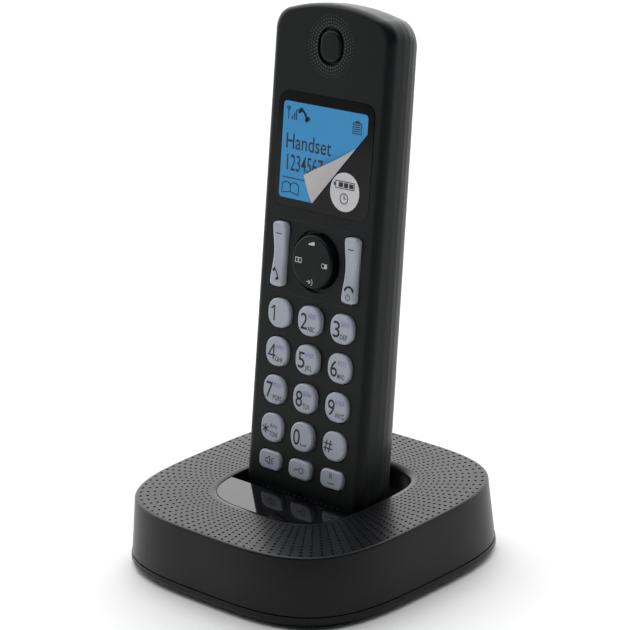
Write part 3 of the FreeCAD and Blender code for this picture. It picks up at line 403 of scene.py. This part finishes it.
class PHONE_OT_base_cover(bpy.types.Operator):
    """Models the upper base casing with its rings of dimples and the rolled well"""
    bl_idname = "phone.base_cover"
    bl_label = "Base Cover"

    def execute(self, context):
        settings = context.scene.phone_base
        rings = settings.rings
        bm = bmesh.new()
        bmesh.ops.create_grid(
            bm, x_segments=settings.columns, y_segments=rings, size=0.5)
        ring_of = bm.faces.layers.int.new("ring")
        for face in bm.faces:
            face[ring_of] = int((face.calc_center_median().y + 0.5) * rings)
        last = rings - 1
        curve = 0.0295 / 1.42
        whole = last * (1 + curve * last)

        def share(step):
            return 0.115 + 0.815 * step * (1 + curve * step) / whole

        rim = (RIM[0], RIM[1], BASE_EXPONENT, 0.0)
        for vert in bm.verts:
            angle = -2 * math.pi * (vert.co.x + 0.5)
            part = share((vert.co.y + 0.5) * rings - 0.5)
            x0, y0 = outline_point(WELL, angle)
            x1, y1 = outline_point(rim, angle)
            x, y = x0 + (x1 - x0) * part, y0 + (y1 - y0) * part
            vert.co = (x, y, BASE_TOP + BASE_TILT * y)
        bmesh.ops.remove_doubles(bm, verts=bm.verts[:], dist=0.001)
        bmesh.ops.bisect_edges(bm, edges=bm.edges[:], cuts=1)
        centres = bmesh.ops.poke(bm, faces=bm.faces[:])["verts"]
        groups = {}
        for vert in centres:
            groups.setdefault(vert.link_faces[0][ring_of], []).append(vert)
        cups = []
        for ring, verts in groups.items():
            radius = settings.inner_radius + (
                settings.outer_radius - settings.inner_radius) * ring / last
            result = bmesh.ops.bevel(
                bm, geom=verts, offset=radius / MM, offset_type="OFFSET", affect="VERTICES",
                segments=1, profile=0.5, material=-1)
            cups += [f for f in result["faces"] if len(f.verts) == 8]
        if len(cups) < 0.9 * len(centres):
            raise RuntimeError("only %d of %d dimples came out" % (len(cups), len(centres)))
        bmesh.ops.inset_individual(
            bm, faces=cups, thickness=0.12, depth=-settings.dimple_depth / MM,
            use_even_offset=True)

        inner = []
        outer = []
        for edge in bm.edges:
            if edge.is_boundary:
                middle = (edge.verts[0].co + edge.verts[1].co) / 2
                close = max(abs(middle.x), abs(middle.y)) < 36.0
                (inner if close else outer).append(edge)
        start_centre = WELL[3] * (1 - share(-0.5))
        end_centre = WELL[3] * (1 - share(last + 0.5))
        roll = settings.back_roll / MM
        lip = []
        for step in range(1, 7):
            turn = math.radians(90 * step / 6)
            lip.append((grown(WELL, 1.75 * (1 - math.sin(turn))),
                        lambda y, turn=turn: BASE_TOP + BASE_TILT * y - (1 - math.cos(turn))
                        * (0.42 + roll * max(0.0, min(1.0, y / 26.0)) ** 2)))
        lip.append((WELL, level(WELL_BOTTOM)))
        sweep(bm, inner, start_centre, lip)
        wall = []
        for step in range(1, 5):
            turn = math.radians(90 * step / 4)
            drop = RIM_RADIUS * (1 - math.cos(turn))
            wall.append((casing_outline(BASE_TOP - drop, RIM_RADIUS * (1 - math.sin(turn))),
                         tilted(BASE_TOP - drop)))
        wall += [
            (casing_outline(COVER_LOW), level(COVER_LOW)),
            (casing_outline(COVER_LOW, 2.2), level(COVER_LOW)),
            (casing_outline(20.8, 2.2), tilted(20.8)),
            (grown(WELL, 1.8), level(20.2)),
            (grown(WELL, 1.8), level(WELL_BOTTOM)),
            (WELL, level(WELL_BOTTOM)),
        ]
        sweep(bm, outer, end_centre, wall)
        bmesh.ops.remove_doubles(bm, verts=bm.verts[:], dist=0.004)
        bmesh.ops.recalc_face_normals(bm, faces=bm.faces[:])
        for label in ("line_jack", "power_inlet", "locator_button"):
            low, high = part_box(label)
            gap = 0.25
            open_back(bm, low.x / MM - gap, high.x / MM + gap, low.z / MM - gap,
                      high.z / MM + gap)
        bmesh.ops.recalc_face_normals(bm, faces=bm.faces[:])
        finish_piece(bm, "dimpled_base_cover", base_plastic(), "base", IN_BASE,
                     ("base_top_cover",))
        give_finish(("base_bottom_cover",), base_plastic())
        return {"FINISHED"}


class PHONE_OT_base_finishes(bpy.types.Operator):
    """Gives the cradle, sockets, feet and inner pieces of the base their finishes"""
    bl_idname = "phone.base_finishes"
    bl_label = "Base Finishes"

    def execute(self, context):
        give_finish(("cradle_insert",), mirror_black())
        give_finish(("rubber_feet",), surface(
            "foot_rubber", (0.03, 0.03, 0.03), 0.8, relief=0.05))
        give_finish(("base_screws", "power_inlet_pin"), surface(
            "zinc_plate", (0.60, 0.60, 0.58), 0.3, grain=2000.0, metallic=1.0))
        give_finish(("line_jack", "power_inlet", "locator_switch"), surface(
            "socket_plastic", (0.02, 0.02, 0.02), 0.45))
        give_finish(("line_jack_contacts",), surface(
            "gold_flash", (0.85, 0.62, 0.24), 0.22, metallic=1.0))
        give_finish(("locator_button",), surface("button_grey", (0.25, 0.26, 0.28), 0.4))
        give_finish(("charge_contact_left", "charge_contact_right"), surface(
            "nickel_plate", (0.74, 0.72, 0.68), 0.18, metallic=1.0))
        give_finish(("base_circuit_board",), surface(
            "solder_mask", (0.03, 0.20, 0.08), 0.35, grain=600.0))
        give_finish(("base_shield_can", "base_antenna"), surface(
            "bright_tin", (0.70, 0.70, 0.68), 0.28, metallic=1.0))
        return {"FINISHED"}


# ---------------------------------------------------------------- handset

class PHONE_OT_handset_finishes(bpy.types.Operator):
    """Gives the handset's covers, keys and inner pieces their finishes"""
    bl_idname = "phone.handset_finishes"
    bl_label = "Handset Finishes"

    def execute(self, context):
        give_finish(("handset_front_cover", "handset_rear_cover", "battery_cover",
                     "earpiece_insert", "navigation_key"), handset_plastic())
        give_finish(("display_window",), window_black())
        give_finish([name for name in NODES if name.startswith("key_")], silver_lacquer())
        give_finish(("battery_life_sticker",), surface(
            "sticker_paper", (0.68, 0.68, 0.70), 0.55, relief=0.006, mottle=0.03))
        give_finish(("keypad_membrane", "navigation_pivot"), surface(
            "silicone", (0.12, 0.12, 0.12), 0.6))
        give_finish(("dome_sheet",), surface("polyester", (0.55, 0.55, 0.50), 0.3))
        give_finish(("lcd_panel",), surface("dark_glass", (0.05, 0.06, 0.06), 0.08, relief=0.0))
        give_finish(("lcd_backlight",), surface("light_guide", (0.80, 0.80, 0.80), 0.4))
        give_finish(("handset_circuit_board",), surface(
            "solder_mask", (0.03, 0.20, 0.08), 0.35, grain=600.0))
        give_finish(("earpiece_speaker", "ringer_speaker", "microphone", "handset_antenna"),
                    surface("bright_tin", (0.70, 0.70, 0.68), 0.28, metallic=1.0))
        give_finish(("battery_cells",), surface("cell_wrap", (0.30, 0.46, 0.36), 0.3))
        give_finish(("battery_springs", "battery_contact_plates", "handset_charge_plates"),
                    surface("nickel_plate", (0.74, 0.72, 0.68), 0.18, metallic=1.0))
        give_finish(("handset_screws",), surface(
            "zinc_plate", (0.60, 0.60, 0.58), 0.3, grain=2000.0, metallic=1.0))
        return {"FINISHED"}


def rocker_dip(height, hollow):
    """Depth of a side key's front at a height from its middle."""
    return 0.1 + hollow * math.cos(height / SIDE_KEY_REACH * math.pi / 2) ** 2


class PHONE_OT_side_keys(bpy.types.Operator):
    """Models the talk and off keys with their dipped middle, and prints their signs"""
    bl_idname = "phone.side_keys"
    bl_label = "Side Keys"

    def execute(self, context):
        hollow = context.scene.phone_handset.rocker_hollow / MM
        for side, label in ((-1, "talk_key"), (1, "off_key")):
            centre = side * SIDE_KEY_X
            bm = bmesh.new()
            bmesh.ops.create_grid(bm, x_segments=14, y_segments=44, size=1.0)
            for vert in bm.verts:
                u, v = vert.co.x, vert.co.y
                reach = SIDE_KEY_REACH * abs(v)
                straight = SIDE_KEY_REACH - SIDE_KEY_CORNER
                turn = min(1.0, max(0.0, (reach - straight) / SIDE_KEY_CORNER))
                half = SIDE_KEY_HALF_WIDTH - SIDE_KEY_WAIST * math.cos(v * math.pi / 2) ** 2
                half -= SIDE_KEY_CORNER * (1 - math.sqrt(max(0.0, 1 - turn * turn)))
                edge = max(abs(u) ** 9, min(1.0, abs(v)) ** 26)
                depth = rocker_dip(SIDE_KEY_REACH * v, hollow) + 0.6 * edge
                vert.co = (centre + u * half, depth, SIDE_KEY_Z + SIDE_KEY_REACH * v)
            bmesh.ops.reverse_faces(bm, faces=bm.faces[:])
            rim = [e for e in bm.edges if e.is_boundary]
            result = bmesh.ops.extrude_edge_only(bm, edges=rim)
            for vert in split(result, bmesh.types.BMVert):
                vert.co.y = SIDE_KEY_BACK
            back = [e for e in bm.edges if e.is_boundary]
            bmesh.ops.holes_fill(bm, edges=back, sides=0)
            bmesh.ops.recalc_face_normals(bm, faces=bm.faces[:])
            finish_piece(bm, label + "_cap", silver_lacquer(), label,
                         replaced=(label,), sharp=50.0)
            bm = bmesh.new()
            bar(bm, centre + 0.1, 85.5, 2.3, 0.3, 0.0)
            if side < 0:
                stroke(bm, arc_points(centre - 1.9, 72.0, 2.4, 75, -10, 10), 0.42, 0.0)
                stroke(bm, [(centre - 1.5, 73.9), (centre - 1.1, 74.5)], 0.8, 0.0)
                stroke(bm, [(centre + 0.2, 71.5), (centre + 0.8, 71.7)], 0.8, 0.0)
            else:
                stroke(bm, arc_points(centre + 0.3, 72.7, 1.6, 30, 150, 10), 0.6, 0.0)
                stroke(bm, [(centre - 1.25, 73.2), (centre - 1.05, 73.7)], 0.8, 0.0)
                stroke(bm, [(centre + 1.65, 73.7), (centre + 1.85, 73.2)], 0.8, 0.0)
                stroke(bm, arc_points(centre + 0.3, 71.2, 0.9, 120, 420, 14), 0.2, 0.0)
                bar(bm, centre + 0.3, 71.8, 0.2, 1.0, 0.0)
            for vert in bm.verts:
                vert.co.y += rocker_dip(vert.co.z - SIDE_KEY_Z, hollow) - 0.04
            finish_piece(bm, label + "_signs", ink(), label)
        return {"FINISHED"}


class PHONE_OT_key_legends(bpy.types.Operator):
    """Prints the digits and letters on the dial keys and the signs on the function keys"""
    bl_idname = "phone.key_legends"
    bl_label = "Key Legends"

    def execute(self, context):
        settings = context.scene.phone_handset
        digit = settings.digit_height / MM
        small = settings.letter_height / MM
        second = surface("second_ink", context.scene.phone_finishes.second_ink, 0.5, relief=0.0)
        for number, (label, sign, letters, others) in enumerate(DIAL):
            x = (number % 3 - 1) * KEY_PITCH[0]
            z = FIRST_ROW - (number // 3) * KEY_PITCH[1]
            y = (SET_BACK if number % 3 != 1 else 0.0) - PRINT_LIFT
            foot, head = z - 2.7, z - 2.7 + digit
            bm = bmesh.new()
            if sign == "*":
                for turn in (30, 90, 150):
                    bar(bm, x - 2.4, z - 0.6, 2.9, 0.42, y, math.radians(turn))
                lettering(bm, "A+a", x - 0.6, z + 0.1, 1.35, y, 3.0)
                lettering(bm, "TONE", x - 0.6, z - 2.6, 1.5, y, 3.3)
            elif sign == "#":
                for offset in (-0.75, 0.75):
                    bar(bm, x - 2.1, z - 0.2 + offset, 3.6, 0.4, y)
                    bar(bm, x - 2.1 + offset, z - 0.2, 3.9, 0.4, y, math.radians(80))
            elif sign == "1":
                stroke(bm, [(x - 1.7, foot + 0.25), (x - 1.7, head - 0.25), (x - 2.9, head - 1.1)],
                       0.5, y)
            elif sign == "4":
                stroke(bm, [(x - 1.0, foot + 0.25), (x - 1.0, head - 0.25), (x - 3.1, foot + 1.4),
                            (x - 0.4, foot + 1.4)], 0.5, y)
            else:
                lettering(bm, sign, x - 3.2, foot, digit, y, 2.8)
            if sign == "0":
                stroke(bm, [(x + 0.1, z - 1.8), (x + 0.1, z - 2.4), (x + 2.1, z - 2.4),
                            (x + 2.1, z - 1.8)], 0.28, y)
            if letters:
                lettering(bm, letters, x - 0.2, z - 3.0, small, y, 0.85 * len(letters) + 0.4,
                          weight=SMALL_WEIGHT)
            finish_piece(bm, label + "_legend", ink(), label)
            if others:
                bm = bmesh.new()
                lettering(bm, others, x - 0.2, z + 1.0, small * 0.95, y, 3.4,
                          weight=SMALL_WEIGHT)
                finish_piece(bm, label + "_second_legend", second, label)

        bm = bmesh.new()
        x, y, z = -KEY_PITCH[0], SET_BACK - PRINT_LIFT, FUNCTION_ROW
        stroke(bm, [(x - 1.5, z + 0.5), (x - 0.9, z + 0.5), (x + 0.1, z + 1.3),
                    (x + 0.1, z - 1.3), (x - 0.9, z - 0.5), (x - 1.5, z - 0.5),
                    (x - 1.5, z + 0.5)], 0.28, y)
        for rise in (-0.9, 0.0, 0.9):
            stroke(bm, [(x + 0.7, z + rise * 0.6), (x + 1.6, z + rise)], 0.28, y)
        finish_piece(bm, "key_speakerphone_sign", ink(), "key_speakerphone")
        bm = bmesh.new()
        y = -PRINT_LIFT
        stroke(bm, arc_points(1.0, z, 0.9, 0, 360, 16), 0.24, y)
        stroke(bm, [(0.1, z), (-1.8, z)], 0.24, y)
        stroke(bm, [(-1.7, z), (-1.7, z - 0.6)], 0.24, y)
        finish_piece(bm, "key_lock_sign", ink(), "key_lock")
        bm = bmesh.new()
        x, y = KEY_PITCH[0], SET_BACK - PRINT_LIFT
        lettering(bm, "R", x, z + 0.35, 1.6, y, centred=True)
        bar(bm, x, z - 1.2, 2.6, 0.28, y)
        finish_piece(bm, "key_recall_sign", ink(), "key_recall")
        return {"FINISHED"}


class PHONE_OT_navigation_signs(bpy.types.Operator):
    """Prints the four pale signs on the navigation key"""
    bl_idname = "phone.navigation_signs"
    bl_label = "Navigation Signs"

    def execute(self, context):
        y = -0.3 - PRINT_LIFT
        bm = bmesh.new()
        stroke(bm, [(-1.5, 84.5), (0.7, 84.5)], 0.35, y)
        stroke(bm, [(-1.2, 84.7), (0.7, 84.9), (0.6, 85.3)], 0.4, y)
        stroke(bm, [(-0.5, 84.95), (0.55, 85.35)], 0.35, y)
        for side in (-1, 1):
            x = -5.4 + side * 0.65
            stroke(bm, [(x - 0.55, 78.35), (x - 0.55, 79.75), (x + 0.55, 79.75),
                        (x + 0.55, 78.35), (x - 0.55, 78.35)], 0.2, y)
        stroke(bm, arc_points(4.8, 78.9, 0.7, 0, 360, 12), 0.2, y)
        for step in range(3):
            bar(bm, 5.6 + 0.33 * step, 78.9, 0.24, 1.4, y)
        stroke(bm, [(-1.5, 73.1), (0.0, 73.1)], 0.22, y)
        stroke(bm, [(-0.6, 73.6), (0.0, 73.1), (-0.6, 72.6)], 0.22, y)
        stroke(bm, arc_points(-0.6, 73.1, 1.4, -40, 40, 6), 0.26, y)
        finish_piece(bm, "navigation_signs", pale_print(), "navigation_key")
        return {"FINISHED"}


class PHONE_OT_display_film(bpy.types.Operator):
    """Models the printed display film, its peeled corner and what is printed on it"""
    bl_idname = "phone.display_film"
    bl_label = "Display Film"

    def execute(self, context):
        finishes = context.scene.phone_finishes
        half, low, high = FOLD_START[0], FOLD_END[1], FILM_TOP
        start = Vector((half, 0.0, FOLD_START[1]))
        end = Vector((FOLD_END[0], 0.0, low))
        along = (end - start).normalized()
        outward = Vector((-along.z, 0.0, along.x))
        if outward.x < 0:
            outward.negate()
        bm = bmesh.new()
        place = (Matrix.Translation((0, FILM_FRONT, (low + high) / 2))
                 @ Matrix.Rotation(math.radians(90), 4, "X")
                 @ Matrix.Diagonal((2 * half, high - low, 1.0, 1.0)))
        bmesh.ops.create_grid(bm, x_segments=1, y_segments=1, size=0.5, matrix=place)
        bmesh.ops.bevel(bm, geom=bm.verts[:], offset=1.2, offset_type="OFFSET",
                        affect="VERTICES", segments=4, profile=0.5, material=-1)
        bmesh.ops.bisect_plane(
            bm, geom=bm.verts[:] + bm.edges[:] + bm.faces[:], dist=0.001,
            plane_co=start, plane_no=outward, clear_outer=True)
        bmesh.ops.solidify(bm, geom=bm.faces[:], thickness=0.12)
        bmesh.ops.recalc_face_normals(bm, faces=bm.faces[:])
        ys = [v.co.y for v in bm.verts]
        bmesh.ops.translate(bm, verts=bm.verts[:], vec=(0, FILM_FRONT - min(ys), 0))
        finish_piece(bm, "display_film_sheet", surface(
            "screen_film", finishes.screen, 0.45, relief=0.004, mottle=0.03), "handset",
            replaced=("display_film",))

        tip = Vector((FLAP_TIP[0], 0.0, FLAP_TIP[1]))
        bm = bmesh.new()
        bmesh.ops.create_grid(bm, x_segments=24, y_segments=14, size=0.5)
        for vert in bm.verts:
            u, v = vert.co.x + 0.5, vert.co.y + 0.5
            base = start.lerp(end, 0.2 + 0.8 * u)
            spot = base.lerp(tip, v)
            reach = (tip - base).length
            bulge = math.sin(math.pi * min(1.0, v * 1.3)) * 0.35 * (reach / 18.0)
            spot += outward * bulge
            rise = 0.08 + 1.15 * (1 - (1 - v) ** 3)
            vert.co = (spot.x, FILM_FRONT - rise, spot.z)
        bmesh.ops.remove_doubles(bm, verts=bm.verts[:], dist=0.002)
        bmesh.ops.solidify(bm, geom=bm.faces[:], thickness=0.08)
        bmesh.ops.recalc_face_normals(bm, faces=bm.faces[:])
        finish_piece(bm, "display_film_flap", surface(
            "film_back", finishes.film_back, 0.4, relief=0.004, mottle=0.03), "handset",
            sharp=60.0)

        y = FILM_FRONT - PRINT_LIFT
        bm = bmesh.new()
        lettering(bm, context.scene.phone_handset.screen_word, -15.2, 111.7, 4.6, y, 18.5)
        lettering(bm, "1234567", -14.5, 105.1, 4.9, y, 14.8)
        bar(bm, -10.6, 102.8, 10.6, 0.3, y)
        for side in (-1, 1):
            x = -12.45 + side * 1.7
            stroke(bm, [(-12.45, 98.6), (-12.45, 101.0)], 0.28, y)
            stroke(bm, arc_points(x, 100.3, 1.7, 0, 180, 8, 0.7), 0.3, y)
            stroke(bm, [(x + side * 1.7, 100.3), (x + side * 1.7, 98.0), (-12.45, 98.6)],
                   0.3, y)
        stroke(bm, [(-15.0, 120.5), (-15.0, 124.2)], 0.3, y)
        stroke(bm, [(-15.8, 124.2), (-15.0, 122.9), (-14.2, 124.2), (-15.8, 124.2)], 0.22, y)
        for step in range(3):
            bar(bm, -13.4 + 0.85 * step, 120.5 + 0.55 * (step + 1), 0.45, 1.1 * (step + 1), y)
        stroke(bm, arc_points(-10.7, 120.8, 3.2, 75, 8, 8), 0.75, y)
        stroke(bm, [(-10.5, 123.3), (-9.7, 123.9)], 1.3, y)
        stroke(bm, [(-7.5, 121.0), (-6.7, 121.5)], 1.3, y)
        stroke(bm, [(11.4, 119.8), (11.4, 123.0), (14.7, 123.0), (14.7, 119.8),
                    (11.4, 119.8)], 0.26, y)
        bar(bm, 13.05, 123.35, 1.5, 0.5, y)
        for step in range(4):
            bar(bm, 13.05, 120.5 + 0.65 * step, 2.3, 0.28, y)
        finish_piece(bm, "display_print", ink(), "handset")
        return {"FINISHED"}


class PHONE_OT_sticker_print(bpy.types.Operator):
    """Prints the battery sign and a plain clock sign on the round sticker"""
    bl_idname = "phone.sticker_print"
    bl_label = "Sticker Print"

    def execute(self, context):
        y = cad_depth("battery_life_sticker") - PRINT_LIFT
        bm = bmesh.new()
        stroke(bm, [(5.9, 102.9), (5.9, 105.0), (13.4, 105.0), (13.4, 102.9), (5.9, 102.9)],
               0.24, y)
        bar(bm, 5.45, 103.95, 0.5, 1.0, y)
        for step in range(3):
            bar(bm, 8.0 + 2.1 * step, 103.95, 1.7, 1.4, y)
        stroke(bm, arc_points(9.6, 99.9, 1.55, 0, 360, 24), 0.28, y)
        stroke(bm, [(9.6, 100.9), (9.6, 99.9), (10.3, 99.9)], 0.26, y)
        finish_piece(bm, "sticker_print", ink(), "handset")
        return {"FINISHED"}


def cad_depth(node):
    """The frontmost depth of a node of the handset, in its own upright frame."""
    turned = IN_HANDSET.inverted()
    return min((turned @ v.co).y for v in NODES[node].data.vertices)


class PHONE_OT_front_details(bpy.types.Operator):
    """Adds the dimples round the earpiece and the dots on the chin as discs lighter than the
    casing, a painted glint, and the panel lines as near-black bars, a painted shade
    """
    bl_idname = "phone.front_details"
    bl_label = "Front Details"

    def execute(self, context):
        bm = bmesh.new()
        for ring in range(4):
            count = 38 + 6 * ring
            for step in range(count):
                turn = 2 * math.pi * (step + 0.5 * (ring % 2)) / count
                x = (5.8 + 1.05 * ring) * math.cos(turn)
                z = EARPIECE_Z + (6.3 + 0.98 * ring) * math.sin(turn)
                dot(bm, x, z, 0.24 - 0.035 * ring, face_at(z) - 0.012, 8)
        for step in range(15):
            dot(bm, -15.9 + 2.25 * step, CHIN_Z, 0.24, face_at(CHIN_Z) - 0.012, 8)
        # The discs are flat and a lighter grey than the black casing: a painted glint where the
        # dimples catch light, not cut hollows.
        dimple = surface("front_dimple_painted_glint", (0.10, 0.105, 0.11), 0.25, relief=0.0)
        finish_piece(bm, "front_dimples", dimple, "handset")

        bm = bmesh.new()
        for z in PANEL_LINES:
            bar(bm, 0.0, z, 37.6, 0.16, face_at(z) - 0.005, thick=0.02)
        # Thin bars lying on the face stand for the grooves of the panel lines; their near-black
        # colour is painted shade, not a cut groove.
        finish_piece(bm, "panel_lines", surface(
            "panel_line_painted_shade", (0.002, 0.002, 0.002), 0.6, relief=0.0), "handset")
        return {"FINISHED"}


# ---------------------------------------------------------------- stage

def area_light(name, spot, target, size, power):
    data = bpy.data.lights.new(name, "AREA")
    data.size = size
    data.energy = power
    lamp = bpy.data.objects.new(name, data)
    lamp.location = spot
    lamp.rotation_euler = (Vector(target) - Vector(spot)).to_track_quat("-Z", "Y").to_euler()
    bpy.context.scene.collection.objects.link(lamp)


class PHONE_OT_stage(bpy.types.Operator):
    """Sets the pale floor, the light from behind and above, and the camera"""
    bl_idname = "phone.stage"
    bl_label = "Stage"

    def execute(self, context):
        scene = context.scene
        scene.view_settings.view_transform = "Standard"
        bm = bmesh.new()
        bmesh.ops.create_grid(bm, x_segments=1, y_segments=1, size=3.0)
        mesh = bpy.data.meshes.new("floor")
        bm.to_mesh(mesh)
        bm.free()
        mesh.materials.append(surface("pale_floor", (0.90, 0.90, 0.90), 0.8, relief=0.0,
                                      mottle=0.01))
        floor = bpy.data.objects.new("floor", mesh)
        scene.collection.objects.link(floor)
        world = bpy.data.worlds.new("studio")
        world.use_nodes = True
        nodes = world.node_tree.nodes
        links = world.node_tree.links
        glow = nodes["Background"]
        way = nodes.new("ShaderNodeTexCoord")
        along = nodes.new("ShaderNodeVectorMath")
        along.operation = "DOT_PRODUCT"
        along.inputs[1].default_value = (-0.695, 0.719, 0.10)
        spread = nodes.new("ShaderNodeMapRange")
        spread.interpolation_type = "SMOOTHSTEP"
        spread.inputs["From Min"].default_value = -0.25
        spread.inputs["From Max"].default_value = 0.70
        spread.inputs["To Min"].default_value = 0.05
        spread.inputs["To Max"].default_value = 2.5
        plain_white = nodes.new("ShaderNodeBackground")
        plain_white.inputs["Color"].default_value = (1.0, 1.0, 1.0, 1.0)
        ray = nodes.new("ShaderNodeLightPath")
        choose = nodes.new("ShaderNodeMixShader")
        links.new(way.outputs["Generated"], along.inputs[0])
        links.new(along.outputs["Value"], spread.inputs["Value"])
        links.new(spread.outputs["Result"], glow.inputs["Strength"])
        glow.inputs["Color"].default_value = (1.0, 1.0, 1.0, 1.0)
        links.new(ray.outputs["Is Camera Ray"], choose.inputs[0])
        links.new(glow.outputs[0], choose.inputs[1])
        links.new(plain_white.outputs[0], choose.inputs[2])
        links.new(choose.outputs[0], nodes["World Output"].inputs["Surface"])
        scene.world = world
        area_light("overhead_light", (-0.1, 0.0, 1.6), (0, 0, 0.0), 1.4, 8.0)
        data = bpy.data.cameras.new("camera")
        data.lens = VIEW_LENS
        data.sensor_width = 36.0
        data.clip_start = 0.01
        camera = bpy.data.objects.new("camera", data)
        camera.matrix_world = (
            Matrix.Translation(VIEW_SPOT) @ Matrix.Rotation(VIEW_TURN, 4, "Z")
            @ Matrix.Rotation(VIEW_TILT, 4, "X") @ Matrix.Rotation(VIEW_ROLL, 4, "Z"))
        scene.collection.objects.link(camera)
        scene.camera = camera
        return {"FINISHED"}


class PHONE_PT_panel(bpy.types.Panel):
    """Shows the phone's operators and settings in the sidebar"""
    bl_idname = "PHONE_PT_panel"
    bl_label = "Cordless Phone"
    bl_space_type = "VIEW_3D"
    bl_region_type = "UI"
    bl_category = "Phone"

    def draw(self, context):
        for operator in OPERATORS:
            self.layout.operator(operator.bl_idname)
        for group in (context.scene.phone_base, context.scene.phone_handset,
                      context.scene.phone_finishes):
            column = self.layout.column()
            for name in group.__annotations__:
                column.prop(group, name)


OPERATORS = (
    PHONE_OT_base_cover, PHONE_OT_base_finishes, PHONE_OT_handset_finishes, PHONE_OT_side_keys,
    PHONE_OT_key_legends, PHONE_OT_navigation_signs, PHONE_OT_display_film,
    PHONE_OT_sticker_print, PHONE_OT_front_details, PHONE_OT_stage,
)
GROUPS = (BaseSettings, HandsetSettings, FinishSettings)


def register():
    for item in GROUPS + OPERATORS + (PHONE_PT_panel,):
        bpy.utils.register_class(item)
    bpy.types.Scene.phone_base = bpy.props.PointerProperty(type=BaseSettings)
    bpy.types.Scene.phone_handset = bpy.props.PointerProperty(type=HandsetSettings)
    bpy.types.Scene.phone_finishes = bpy.props.PointerProperty(type=FinishSettings)


def unregister():
    del bpy.types.Scene.phone_finishes
    del bpy.types.Scene.phone_handset
    del bpy.types.Scene.phone_base
    for item in reversed(GROUPS + OPERATORS + (PHONE_PT_panel,)):
        bpy.utils.unregister_class(item)


def main():
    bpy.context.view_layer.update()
    register()
    for operator in OPERATORS:
        family, name = operator.bl_idname.split(".")
        getattr(getattr(bpy.ops, family), name)()


if __name__ == "__main__":
    main()
